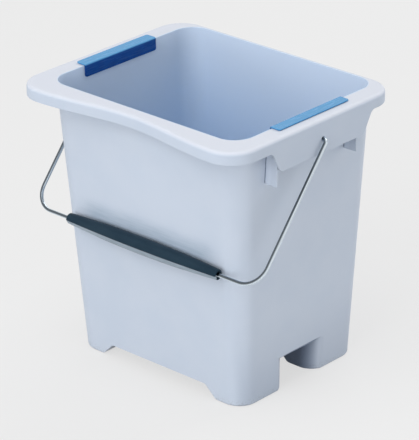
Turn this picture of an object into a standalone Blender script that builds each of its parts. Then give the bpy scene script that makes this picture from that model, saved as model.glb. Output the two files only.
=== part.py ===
"""Rectangular plastic trolley bucket: a moulded tub, a swinging wire bail with its grip, and two rim clips.

Metres, +Z up. X runs along the long side, Y from the front (-Y) to the back (+Y). The origin is on the floor,
under the middle of the rim. The bail is at rest against the front wall.
"""

import math
from typing import NamedTuple

import bmesh
import bpy
from mathutils import Matrix, Vector

# Rim: outline, the bow that draws its front edge in at the middle, rounding, flange and skirt
RIM_LENGTH = 0.330
RIM_WIDTH = 0.2775
HEIGHT = 0.338
RIM_CORNER_RADIUS = 0.035
FRONT_BOW = 0.0145
RIM_EDGE_RADIUS = 0.0045
RIM_THICKNESS = 0.003
SKIRT_HEIGHT = 0.015
SKIRT_THICKNESS = 0.0025

# Opening: flange width on each side, from the rim's outer edge to the mouth of the tub
FLANGE_SHORT = 0.0247
FLANGE_FRONT = 0.0316
FLANGE_BACK = 0.0068
OPENING_RADIUS = 0.0256
OPENING_EDGE_RADIUS = 0.0015

# Tub wall, and how far it stands inside the rim's outline at the floor
WALL = 0.0028
BASE_INSET_SHORT = 0.039
BASE_INSET_FRONT = 0.0583
BASE_INSET_BACK = 0.0161
BASE_RADIUS = 0.024
FOOT_EDGE_RADIUS = 0.003

# Feet: two runners along Y, left by a channel under the base, each parted by a tip-grip recess
FOOT_LENGTH = 0.0375
CHANNEL_HEIGHT = 0.0165
CHANNEL_SLOPE = math.radians(45)
CHANNEL_FILLET = 0.004
RECESS_WIDTH = 0.046
RECESS_HEIGHT = 0.043
RECESS_DEPTH = 0.056
RECESS_EDGE_RADIUS = 0.020
RECESS_EDGE_TURN = math.radians(60)

# Aprons on the short sides, which carry the bail, and the stacking ribs behind their ends
PIVOT_Y = 0.0088
PIVOT_DROP = 0.0235
PIVOT_CLEARANCE = 0.0006
APRON_DROP = 0.0405
APRON_TOP_WIDTH = 0.170
APRON_BOTTOM_WIDTH = 0.141
APRON_FILLET = 0.007
RIB_DROP = 0.062
RIB_THICKNESS = 0.0025
RIB_SPREAD = 0.135
RIB_RIM_INSET = 0.0074

# Bail: one bent wire
WIRE_DIAMETER = 0.0045
BAIL_LENGTH = 0.181
BAIL_SIDE_CLEARANCE = 0.00275
BAIL_BEND_RADIUS = 0.0265
PIVOT_BEND_RADIUS = 0.005
WIRE_END_LENGTH = 0.010

# Grip: a barrel-shaped slotted tube, snapped over the bail's bar
GRIP_LENGTH = 0.228
GRIP_MIDDLE_RADIUS = 0.0098
GRIP_END_RADIUS = 0.0065
GRIP_END_ROUNDING = 0.0018
GRIP_SLOT_WIDTH = 0.0038
GRIP_MOUTH_RADIUS = 0.0042
GRIP_MOUTH_DEPTH = 0.006

# Colour-code clips, hooked over the opening's edge on the short sides
CLIP_LENGTH = 0.118
CLIP_RIM_INSET = 0.0125
CLIP_THICKNESS = 0.0018
CLIP_FLAP = 0.0135
CLIP_FOLD_RADIUS = 0.0016
CLIP_CORNER_RADIUS = 0.0025
TONGUE_SPACING = 0.080
TONGUE_WIDTH = 0.012
TONGUE_THICKNESS = 0.002
TONGUE_LENGTH = 0.007
TONGUE_RIM_INSET = 0.018

# Finishes: colours as display values from 0 to 255, and how rough the surface is
BUCKET_COLOUR = (208, 217, 231)
BUCKET_ROUGHNESS = 0.45
STEEL_COLOUR = (196, 200, 204)
STEEL_ROUGHNESS = 0.2
GRIP_COLOUR = (46, 60, 74)
GRIP_ROUGHNESS = 0.4
CLIP_COLOUR = (42, 110, 184)
CLIP_ROUGHNESS = 0.35

# Gap between pieces that touch, how far a cutter runs past what it cuts, and how finely arcs are divided
CLEARANCE = 0.0003
OVERRUN = 0.010
CORNER_SEGMENTS = 10
BOW_SEGMENTS = 12
EDGE_SEGMENTS = 4
BEND_SEGMENTS = 10
ROUND_SEGMENTS = 28
GRIP_PROFILE_STEPS = 20
WIRE_BEVEL_RESOLUTION = 4
CIRCLE_PROFILE = 0.5
SHARP_EDGE_ANGLE = math.radians(30)
MERGE_DISTANCE = 0.00001

# Heights and places that follow from the sizes above
SKIRT_LOW = HEIGHT - SKIRT_HEIGHT
APRON_LOW = HEIGHT - APRON_DROP
PIVOT_Z = HEIGHT - PIVOT_DROP
WIRE_RADIUS = WIRE_DIAMETER / 2
BAIL_ARM_X = RIM_LENGTH / 2 + BAIL_SIDE_CLEARANCE + WIRE_RADIUS
FRONT_WALL_TILT = math.atan((BASE_INSET_FRONT - FLANGE_FRONT + WALL) / HEIGHT)


class Section(NamedTuple):
    """A level rounded rectangle, centred on X, whose front edge may be bowed inwards."""

    half_length: float
    front: float
    back: float
    radius: float
    z: float
    bow: float = 0.0


def blend(low, high, share):
    return low + (high - low) * share


def wall_section(z, inset=0.0):
    """The tub's outer wall at a height, drawn in by an inset."""
    share = z / HEIGHT
    short = blend(BASE_INSET_SHORT, FLANGE_SHORT - WALL, share) + inset
    front = blend(BASE_INSET_FRONT, FLANGE_FRONT - WALL, share) + inset
    back = blend(BASE_INSET_BACK, FLANGE_BACK - WALL, share) + inset
    radius = blend(BASE_RADIUS, OPENING_RADIUS + WALL, share) - inset
    return Section(RIM_LENGTH / 2 - short, front - RIM_WIDTH / 2, RIM_WIDTH / 2 - back, radius, z)


def rim_section(z, inset=0.0):
    """The rim's outline at a height, drawn in by an inset."""
    half_width = RIM_WIDTH / 2 - inset
    half_length = RIM_LENGTH / 2 - inset
    return Section(half_length, -half_width, half_width, RIM_CORNER_RADIUS - inset, z, FRONT_BOW)


def outline_of(section):
    """The section's points, anticlockwise from its right front corner."""
    reach_x = section.half_length - section.radius
    reach_back = section.back - section.radius
    reach_front = section.front + section.radius
    centres = [(reach_x, reach_front), (reach_x, reach_back)]
    centres += [(-x, y) for x, y in reversed(centres)]
    places = []
    for corner, (x, y) in enumerate(centres):
        for step in range(CORNER_SEGMENTS + 1):
            angle = math.radians(90) * (corner - 1 + step / CORNER_SEGMENTS)
            places.append((x + section.radius * math.cos(angle), y + section.radius * math.sin(angle)))
    if section.bow:
        for step in range(1, BOW_SEGMENTS):
            share = 2 * step / BOW_SEGMENTS - 1
            drawn_in = section.bow * (1 + math.cos(math.pi * share)) / 2
            places.append((reach_x * share, section.front + drawn_in))
    return [Vector((x, y, section.z)) for x, y in places]


def filleted(corners, radii, closed):
    """The corners with each one rounded to its own radius. A radius of 0 leaves a corner sharp."""
    points = []
    for index, (corner, radius) in enumerate(zip(corners, radii)):
        if not radius or (not closed and index in (0, len(corners) - 1)):
            points.append(corner)
            continue
        before = (corners[index - 1] - corner).normalized()
        after = (corners[(index + 1) % len(corners)] - corner).normalized()
        half_angle = before.angle(after) / 2
        start = corner + before * (radius / math.tan(half_angle))
        centre = corner + (before + after).normalized() * (radius / math.sin(half_angle))
        spoke = (start - centre).normalized()
        for step in range(BEND_SEGMENTS + 1):
            turn = (math.pi - 2 * half_angle) * step / BEND_SEGMENTS
            points.append(centre + (spoke * math.cos(turn) - before * math.sin(turn)) * radius)
    return points


def new_object(name, mesh, collection):
    mesh.shade_smooth()
    mesh.set_sharp_from_angle(angle=SHARP_EDGE_ANGLE)
    obj = bpy.data.objects.new(name, mesh)
    collection.objects.link(obj)
    return obj


def mesh_from(bm, name):
    """The finished bmesh as a mesh, with its faces turned outwards."""
    bmesh.ops.recalc_face_normals(bm, faces=bm.faces)
    mesh = bpy.data.meshes.new(name)
    bm.to_mesh(mesh)
    bm.free()
    return mesh


def loft(name, sections, collection):
    """A solid through level sections, from the lowest to the highest."""
    bm = bmesh.new()
    loops = [[bm.verts.new(point) for point in outline_of(section)] for section in sections]
    for low, high in zip(loops, loops[1:]):
        for index in range(len(low)):
            after = (index + 1) % len(low)
            bm.faces.new((low[index], low[after], high[after], high[index]))
    bm.faces.new(loops[0])
    bm.faces.new(loops[-1])
    return new_object(name, mesh_from(bm, name), collection)


def prism(name, outline, direction, collection):
    """A flat outline drawn out along a direction."""
    bm = bmesh.new()
    face = bm.faces.new([bm.verts.new(point) for point in outline])
    drawn = bmesh.ops.extrude_face_region(bm, geom=[face], use_keep_orig=True)["geom"]
    moved = [item for item in drawn if isinstance(item, bmesh.types.BMVert)]
    bmesh.ops.translate(bm, verts=moved, vec=direction)
    return new_object(name, mesh_from(bm, name), collection)


def box(name, low, high, collection):
    """A plain box between two corners."""
    bm = bmesh.new()
    size = Vector(high) - Vector(low)
    middle = (Vector(high) + Vector(low)) / 2
    bmesh.ops.create_cube(bm, size=1, matrix=Matrix.Translation(middle) @ Matrix.Diagonal((*size, 1)))
    return new_object(name, mesh_from(bm, name), collection)


def rod(name, radius, low_x, high_x, y, z, collection):
    """A round bar along X."""
    bm = bmesh.new()
    place = Matrix.Translation(((low_x + high_x) / 2, y, z)) @ Matrix.Rotation(math.radians(90), 4, "Y")
    bmesh.ops.create_cone(
        bm,
        cap_ends=True,
        segments=ROUND_SEGMENTS,
        radius1=radius,
        radius2=radius,
        depth=high_x - low_x,
        matrix=place,
    )
    return new_object(name, mesh_from(bm, name), collection)


def combine(target, operation, *tools):
    """Adds the tools to the target, or cuts them out of it."""
    for tool in tools:
        modifier = target.modifiers.new(tool.name, "BOOLEAN")
        modifier.operation = operation
        modifier.object = tool


def material(name, colour, roughness, metallic=0.0):
    """A Principled material; the colour is given as display values from 0 to 255."""
    made = bpy.data.materials.new(name)
    made.use_nodes = True
    shader = made.node_tree.nodes["Principled BSDF"]
    linear = [((value / 255 + 0.055) / 1.055) ** 2.4 for value in colour]
    shader.inputs["Base Color"].default_value = (*linear, 1.0)
    shader.inputs["Roughness"].default_value = roughness
    shader.inputs["Metallic"].default_value = metallic
    return made


def quarter_steps():
    """Angles that divide a quarter turn for a rounded edge."""
    return [math.radians(90) * step / EDGE_SEGMENTS for step in range(EDGE_SEGMENTS + 1)]


def rim_shell(parts, cutters):
    """The flange, its skirt and the two aprons: a deep lid, hollowed from below and trimmed to the skirt."""
    rounded = [
        rim_section(
            HEIGHT - RIM_EDGE_RADIUS * (1 - math.sin(angle)),
            RIM_EDGE_RADIUS * (1 - math.cos(angle)),
        )
        for angle in quarter_steps()
    ]
    shell = loft("bucket_body", [rim_section(APRON_LOW), *rounded], parts)
    hollow = loft(
        "rim_hollow",
        [
            rim_section(APRON_LOW - OVERRUN, SKIRT_THICKNESS),
            rim_section(HEIGHT - RIM_THICKNESS, SKIRT_THICKNESS),
        ],
        cutters,
    )
    combine(shell, "DIFFERENCE", hollow, skirt_trim(cutters))
    return shell


def skirt_trim(cutters):
    """What lies below the skirt all round the rim, apart from the two aprons."""
    outside = RIM_WIDTH / 2 + OVERRUN
    corners = [
        (-outside, APRON_LOW - OVERRUN, 0),
        (outside, APRON_LOW - OVERRUN, 0),
        (outside, SKIRT_LOW, 0),
        (PIVOT_Y + APRON_TOP_WIDTH / 2, SKIRT_LOW, APRON_FILLET),
        (PIVOT_Y + APRON_BOTTOM_WIDTH / 2, APRON_LOW, APRON_FILLET),
        (PIVOT_Y - APRON_BOTTOM_WIDTH / 2, APRON_LOW, APRON_FILLET),
        (PIVOT_Y - APRON_TOP_WIDTH / 2, SKIRT_LOW, APRON_FILLET),
        (-outside, SKIRT_LOW, 0),
    ]
    start_x = -RIM_LENGTH / 2 - OVERRUN
    points = [Vector((start_x, y, z)) for y, z, _ in corners]
    outline = filleted(points, [radius for _, _, radius in corners], closed=True)
    return prism("skirt_trim", outline, (-2 * start_x, 0, 0), cutters)


def tub_solid(cutters):
    """The tub before it is hollowed, up to the middle of the flange, with its lower edge rounded."""
    rounded = [
        wall_section(
            FOOT_EDGE_RADIUS * (1 - math.cos(angle)),
            FOOT_EDGE_RADIUS * (1 - math.sin(angle)),
        )
        for angle in quarter_steps()
    ]
    return loft("tub_solid", [*rounded, wall_section(HEIGHT - RIM_THICKNESS / 2)], cutters)


def channel(name, offset, cutters):
    """The channel under the base that leaves the runners, grown by an offset."""
    half_floor = wall_section(0).half_length - FOOT_LENGTH
    top = CHANNEL_HEIGHT + offset
    slope_run = 1 / math.tan(CHANNEL_SLOPE)
    grown = half_floor + offset / math.sin(CHANNEL_SLOPE)
    low_half = grown + OVERRUN * slope_run
    top_half = grown - top * slope_run
    start_y = -RIM_WIDTH / 2
    points = [
        Vector((-low_half, start_y, -OVERRUN)),
        Vector((low_half, start_y, -OVERRUN)),
        Vector((top_half, start_y, top)),
        Vector((-top_half, start_y, top)),
    ]
    fillet = CHANNEL_FILLET + offset
    outline = filleted(points, [0, 0, fillet, fillet], closed=True)
    return prism(name, outline, (0, RIM_WIDTH, 0), cutters)


def recess(name, side, offset, cutters):
    """A tip-grip recess between the feet of one short side, round at its mouth, grown by an offset."""
    foot = wall_section(0)
    middle_y = (foot.front + foot.back) / 2
    radius = RECESS_EDGE_RADIUS - offset
    centre_x = foot.half_length - RECESS_EDGE_RADIUS
    centre_y = RECESS_WIDTH / 2 + RECESS_EDGE_RADIUS
    half = []
    for step in range(CORNER_SEGMENTS + 1):
        angle = RECESS_EDGE_TURN * step / CORNER_SEGMENTS
        half.append((centre_x + radius * math.sin(angle), centre_y - radius * math.cos(angle)))
    last_x, last_y = half[-1]
    run = OVERRUN + RECESS_EDGE_RADIUS
    half.append((last_x + run * math.cos(RECESS_EDGE_TURN), last_y + run * math.sin(RECESS_EDGE_TURN)))
    deep_x = foot.half_length - RECESS_DEPTH - offset
    half.insert(0, (deep_x, RECESS_WIDTH / 2 + offset))
    whole = half + [(x, -y) for x, y in reversed(half)]
    outline = [Vector((side * x, middle_y + y, -OVERRUN)) for x, y in whole]
    return prism(name, outline, (0, 0, RECESS_HEIGHT + offset + OVERRUN), cutters)


def cavity(cutters):
    """The inside of the tub: an even wall everywhere, with wells in the feet and a rounded mouth."""
    rounded = [
        wall_section(
            HEIGHT - OPENING_EDGE_RADIUS * (1 - math.sin(angle)),
            WALL - OPENING_EDGE_RADIUS * (1 - math.cos(angle)),
        )
        for angle in quarter_steps()
    ]
    mouth = rounded[-1]._replace(z=HEIGHT + OVERRUN)
    inside = loft("cavity", [wall_section(WALL, WALL), *rounded, mouth], cutters)
    combine(inside, "DIFFERENCE", channel("channel_core", WALL, cutters))
    for side, label in ((-1, "left"), (1, "right")):
        combine(inside, "DIFFERENCE", recess(f"recess_core_{label}", side, WALL, cutters))
    return inside


def stacking_ribs(cutters):
    """The ribs under the flange at both ends of each apron."""
    low_z = HEIGHT - RIB_DROP
    high_z = HEIGHT - RIM_THICKNESS / 2
    inner_x = wall_section(low_z).half_length - WALL / 2
    outer_x = RIM_LENGTH / 2 - RIB_RIM_INSET
    ribs = []
    for side, label in ((-1, "left"), (1, "right")):
        for end, place in ((-1, "front"), (1, "back")):
            y = PIVOT_Y + end * RIB_SPREAD / 2
            low_x, high_x = sorted((side * inner_x, side * outer_x))
            ribs.append(
                box(
                    f"rib_{label}_{place}",
                    (low_x, y - RIB_THICKNESS / 2, low_z),
                    (high_x, y + RIB_THICKNESS / 2, high_z),
                    cutters,
                )
            )
    return ribs


def tongue_places():
    """The middle of each clip tongue along Y."""
    return [PIVOT_Y - TONGUE_SPACING / 2, PIVOT_Y + TONGUE_SPACING / 2]


def tongue_box(name, side, y, low_z, high_z, gap, collection):
    """The room of one clip tongue, widened by a gap."""
    x = RIM_LENGTH / 2 - TONGUE_RIM_INSET
    half_x = TONGUE_THICKNESS / 2 + gap
    half_y = TONGUE_WIDTH / 2 + gap
    low_x, high_x = sorted((side * (x - half_x), side * (x + half_x)))
    return box(name, (low_x, y - half_y, low_z), (high_x, y + half_y, high_z), collection)


def build_body(parts, cutters, dressing):
    """The bucket moulding in one piece."""
    body = rim_shell(parts, cutters)
    combine(body, "UNION", tub_solid(cutters), *stacking_ribs(cutters))
    combine(body, "DIFFERENCE", channel("channel_cut", 0, cutters))
    for side, label in ((-1, "left"), (1, "right")):
        combine(body, "DIFFERENCE", recess(f"recess_cut_{label}", side, 0, cutters))
    combine(body, "DIFFERENCE", cavity(cutters))
    hole_radius = WIRE_RADIUS + PIVOT_CLEARANCE
    for side, label in ((-1, "left"), (1, "right")):
        near_x = side * (RIM_LENGTH / 2 - 2 * SKIRT_THICKNESS)
        far_x = side * (RIM_LENGTH / 2 + SKIRT_THICKNESS)
        ends = sorted((near_x, far_x))
        hole = rod(f"pivot_hole_{label}", hole_radius, *ends, PIVOT_Y, PIVOT_Z, cutters)
        combine(body, "DIFFERENCE", hole)
        for index, y in enumerate(tongue_places()):
            low_z = HEIGHT - 2 * RIM_THICKNESS
            slot = tongue_box(f"slot_{label}_{index}", side, y, low_z, HEIGHT + OVERRUN, CLEARANCE, cutters)
            combine(body, "DIFFERENCE", slot)
    body.data.materials.append(dressing)


def bail_rest_angle():
    """How far the hanging bail leans forward, where the grip's middle meets the front wall."""
    top_front = wall_section(HEIGHT).front
    reach = GRIP_MIDDLE_RADIUS + CLEARANCE
    reach += math.cos(FRONT_WALL_TILT) * (PIVOT_Y - top_front)
    reach += math.sin(FRONT_WALL_TILT) * (PIVOT_Z - HEIGHT)
    return math.asin(reach / BAIL_LENGTH) - FRONT_WALL_TILT


def build_bail_wire(parts, pivot, dressing):
    """The bent wire, hanging straight down in the pivot's own frame."""
    end_x = RIM_LENGTH / 2 - SKIRT_THICKNESS - WIRE_END_LENGTH
    half = [(end_x, 0, 0), (BAIL_ARM_X, 0, PIVOT_BEND_RADIUS), (BAIL_ARM_X, -BAIL_LENGTH, BAIL_BEND_RADIUS)]
    whole = half + [(-x, z, radius) for x, z, radius in reversed(half)]
    corners = [Vector((x, 0, z)) for x, z, _ in whole]
    points = filleted(corners, [radius for _, _, radius in whole], closed=False)
    curve = bpy.data.curves.new("bail_wire", "CURVE")
    curve.dimensions = "3D"
    curve.bevel_depth = WIRE_RADIUS
    curve.bevel_resolution = WIRE_BEVEL_RESOLUTION
    curve.use_fill_caps = True
    spline = curve.splines.new("POLY")
    spline.points.add(len(points) - 1)
    for place, point in zip(spline.points, points):
        place.co = (*point, 1.0)
    curve.materials.append(dressing)
    wire = bpy.data.objects.new("bail_wire", curve)
    wire.parent = pivot
    parts.objects.link(wire)


def grip_profile():
    """The tube's closed half section as (x, radius): left over the barrel, then back through the bore."""
    half = GRIP_LENGTH / 2
    end = []
    for angle in quarter_steps():
        inset = GRIP_END_ROUNDING * (1 - math.sin(angle))
        end.append((half - GRIP_END_ROUNDING * (1 - math.cos(angle)), GRIP_END_RADIUS - inset))
    reach = half - GRIP_END_ROUNDING
    barrel = []
    for step in range(1, GRIP_PROFILE_STEPS):
        share = 1 - 2 * step / GRIP_PROFILE_STEPS
        swell = (GRIP_MIDDLE_RADIUS - GRIP_END_RADIUS) * (1 - share * share)
        barrel.append((reach * share, GRIP_END_RADIUS + swell))
    bore_x = half - GRIP_MOUTH_DEPTH
    mouth = [(bore_x, WIRE_RADIUS + CLEARANCE), (bore_x, GRIP_MOUTH_RADIUS), (half, GRIP_MOUTH_RADIUS)]
    left_end = [(-x, radius) for x, radius in reversed(mouth + end)]
    return end + barrel + left_end + mouth


def build_grip(parts, cutters, pivot, dressing):
    """The slotted barrel on the bail's bar. The slot faces away from the pivot."""
    bm = bmesh.new()
    verts = [bm.verts.new((x, 0, radius)) for x, radius in grip_profile()]
    for index, vert in enumerate(verts):
        bm.edges.new((vert, verts[(index + 1) % len(verts)]))
    mesh = bpy.data.meshes.new("bail_grip")
    bm.to_mesh(mesh)
    bm.free()
    grip = new_object("bail_grip", mesh, parts)
    grip.parent = pivot
    grip.location = (0, 0, -BAIL_LENGTH)
    turn = grip.modifiers.new("turned", "SCREW")
    turn.axis = "X"
    turn.steps = ROUND_SEGMENTS
    turn.render_steps = ROUND_SEGMENTS
    turn.use_merge_vertices = True
    turn.merge_threshold = MERGE_DISTANCE
    turn.use_smooth_shade = True
    half_length = GRIP_LENGTH / 2 + OVERRUN
    half_slot = GRIP_SLOT_WIDTH / 2
    low = (-half_length, -half_slot, -GRIP_MIDDLE_RADIUS - OVERRUN)
    slot = box("grip_slot", low, (half_length, half_slot, 0), cutters)
    slot.parent = grip
    combine(grip, "DIFFERENCE", slot)
    grip.data.materials.append(dressing)


def clip_outline(side):
    """The clip's bent section in the XZ plane: a strip on the rim and a flap down the inside of the wall."""
    low_z = HEIGHT - CLIP_FLAP
    strip_low = HEIGHT + CLEARANCE
    strip_high = strip_low + CLIP_THICKNESS
    strip_x = RIM_LENGTH / 2 - CLIP_RIM_INSET
    bend_x = wall_section(HEIGHT, WALL).half_length - CLEARANCE
    low_x = wall_section(low_z, WALL).half_length - CLEARANCE
    corners = [
        (strip_x, strip_low, 0),
        (strip_x, strip_high, 0),
        (bend_x - CLIP_THICKNESS, strip_high, CLIP_FOLD_RADIUS),
        (low_x - CLIP_THICKNESS, low_z, 0),
        (low_x, low_z, 0),
        (bend_x, strip_low, 0),
    ]
    start_y = PIVOT_Y - CLIP_LENGTH / 2
    points = [Vector((side * x, start_y, z)) for x, z, _ in corners]
    return filleted(points, [radius for _, _, radius in corners], closed=True)


def round_free_corners(obj):
    """Rounds the clip's four free corners, at the strip's outer edge and the flap's lower edge."""
    bm = bmesh.new()
    bm.from_mesh(obj.data)
    outer_x = max(abs(vert.co.x) for vert in bm.verts)
    low_z = min(vert.co.z for vert in bm.verts)
    near = CLIP_THICKNESS / 10
    chosen = []
    for edge in bm.edges:
        ends = [vert.co for vert in edge.verts]
        across = abs(ends[0].y - ends[1].y) > near
        on_strip = all(outer_x - abs(co.x) < near for co in ends)
        on_flap = all(co.z - low_z < near for co in ends)
        if not across and (on_strip or on_flap):
            chosen.append(edge)
    bmesh.ops.bevel(
        bm,
        geom=chosen,
        offset=CLIP_CORNER_RADIUS,
        segments=EDGE_SEGMENTS,
        affect="EDGES",
        profile=CIRCLE_PROFILE,
    )
    bm.to_mesh(obj.data)
    bm.free()


def build_clip(side, label, parts, cutters, dressing):
    """One colour-code clip with the two tongues that hold it in the flange."""
    clip = prism(f"clip_{label}", clip_outline(side), (0, CLIP_LENGTH, 0), parts)
    round_free_corners(clip)
    for index, y in enumerate(tongue_places()):
        high_z = HEIGHT + CLEARANCE + CLIP_THICKNESS / 2
        low_z = HEIGHT + CLEARANCE - TONGUE_LENGTH
        tongue = tongue_box(f"tongue_{label}_{index}", side, y, low_z, high_z, 0, cutters)
        combine(clip, "UNION", tongue)
    clip.data.materials.append(dressing)


def main():
    for obj in list(bpy.data.objects):
        bpy.data.objects.remove(obj)
    parts = bpy.data.collections.new("trolley_bucket")
    cutters = bpy.data.collections.new("trolley_bucket_cutters")
    for collection in (parts, cutters):
        bpy.context.scene.collection.children.link(collection)

    build_body(parts, cutters, material("bucket_plastic", BUCKET_COLOUR, BUCKET_ROUGHNESS))
    pivot = bpy.data.objects.new("bail_pivot", None)
    pivot.location = (0, PIVOT_Y, PIVOT_Z)
    pivot.rotation_euler = (-bail_rest_angle(), 0, 0)
    parts.objects.link(pivot)
    build_bail_wire(parts, pivot, material("bail_steel", STEEL_COLOUR, STEEL_ROUGHNESS, metallic=1.0))
    build_grip(parts, cutters, pivot, material("grip_plastic", GRIP_COLOUR, GRIP_ROUGHNESS))
    for side, label in ((-1, "left"), (1, "right")):
        blue = material(f"clip_plastic_{label}", CLIP_COLOUR, CLIP_ROUGHNESS)
        build_clip(side, label, parts, cutters, blue)
    for tool in cutters.objects:
        tool.hide_render = True
        tool.display_type = "WIRE"


main()
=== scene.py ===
"""Looks of the trolley bucket: the moulded tub, the wire bail with its grip, and the two colour-code clips.

Metres, +Z up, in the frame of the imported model. X runs along the long side and -Y is the front, where the
bail hangs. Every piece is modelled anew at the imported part's own sizes and stands for its node.
"""

import logging
import math
from collections.abc import Callable, Iterator
from contextlib import contextmanager
from dataclasses import dataclass
from enum import Enum

import bmesh
import bpy
from mathutils import Matrix, Vector


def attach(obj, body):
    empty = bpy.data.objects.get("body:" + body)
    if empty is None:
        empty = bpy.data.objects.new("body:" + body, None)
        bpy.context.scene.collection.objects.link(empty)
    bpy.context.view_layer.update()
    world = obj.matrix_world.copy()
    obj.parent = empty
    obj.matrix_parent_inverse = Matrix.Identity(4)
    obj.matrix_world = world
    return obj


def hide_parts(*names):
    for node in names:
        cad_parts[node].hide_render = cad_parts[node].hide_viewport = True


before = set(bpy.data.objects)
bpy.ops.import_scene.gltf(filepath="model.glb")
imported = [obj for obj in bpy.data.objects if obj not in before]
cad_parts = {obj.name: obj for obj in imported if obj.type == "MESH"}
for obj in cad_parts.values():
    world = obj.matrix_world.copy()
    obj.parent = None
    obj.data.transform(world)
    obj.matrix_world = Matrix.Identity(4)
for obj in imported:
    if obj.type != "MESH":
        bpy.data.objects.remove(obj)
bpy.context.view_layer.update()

LOG = logging.getLogger("trolley_bucket")

# Places closer than NEAR count as one, and a tool reaches OVERRUN past what it cuts.
NEAR = 0.00002
MERGE_DISTANCE = 0.00001
OVERRUN = 0.010
ROUND_PROFILE = 0.5
SOFT_SEGMENTS = 2
RIGHT_ANGLE = math.radians(90)
SHARP_ANGLE = math.radians(32)
NOISE_MIDDLE = 0.5

Point = tuple[float, float, float]
Pair = tuple[float, float]
Span = tuple[float, float]
Item = bmesh.types.BMVert | bmesh.types.BMEdge | bmesh.types.BMFace
Test = Callable[[Item], bool]


class Element(Enum):
    """What an edit-mode selection picks."""

    VERTS = "VERT"
    EDGES = "EDGE"
    FACES = "FACE"


class Operation(Enum):
    """How a tool acts on the piece that it meets."""

    ADD = "UNION"
    CUT = "DIFFERENCE"


class Side(Enum):
    """The two short sides of the bucket."""

    LEFT = -1
    RIGHT = 1

    @property
    def label(self) -> str:
        """The side's word in the names of pieces."""
        return self.name.lower()


class Detail(Enum):
    """How much finer noise lies on a soft noise."""

    SMOOTH = 1.0
    SOFT = 2.0
    RICH = 3.0


@dataclass(frozen=True)
class Outline:
    """A level rounded rectangle, centred on X.

    Args:
        half_length: Half its length along X.
        front: Y of its front edge.
        back: Y of its back edge.
        radius: Radius of its corners.
        z: Its height.
    """

    half_length: float
    front: float
    back: float
    radius: float
    z: float

    @property
    def depth(self) -> float:
        """Its size along Y."""
        return self.back - self.front

    @property
    def middle(self) -> float:
        """Y of its middle."""
        return (self.front + self.back) / 2


def corners_of(item: Item) -> list[Vector]:
    """The places of the corners of a vertex, an edge or a face."""
    return [item.co] if isinstance(item, bmesh.types.BMVert) else [vert.co for vert in item.verts]


def lies_at(axis: int, value: float) -> Test:
    """A test for items that lie in a plane across axis 0, 1 or 2, which is X, Y or Z."""
    return lambda item: all(abs(place[axis] - value) < NEAR for place in corners_of(item))


def runs_across(axis: int) -> Test:
    """A test for edges whose two ends have one place on an axis."""
    return lambda edge: abs(edge.verts[0].co[axis] - edge.verts[1].co[axis]) < NEAR


def is_open(edge: bmesh.types.BMEdge) -> bool:
    """True for an edge on an open end of the mesh."""
    return edge.is_boundary


def is_sharp(edge: bmesh.types.BMEdge) -> bool:
    """True for an edge where two faces meet at a sharp angle."""
    return edge.calc_face_angle(0) > SHARP_ANGLE


def both(first: Test, second: Test) -> Test:
    """A test for items that pass two tests."""
    return lambda item: first(item) and second(item)


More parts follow.
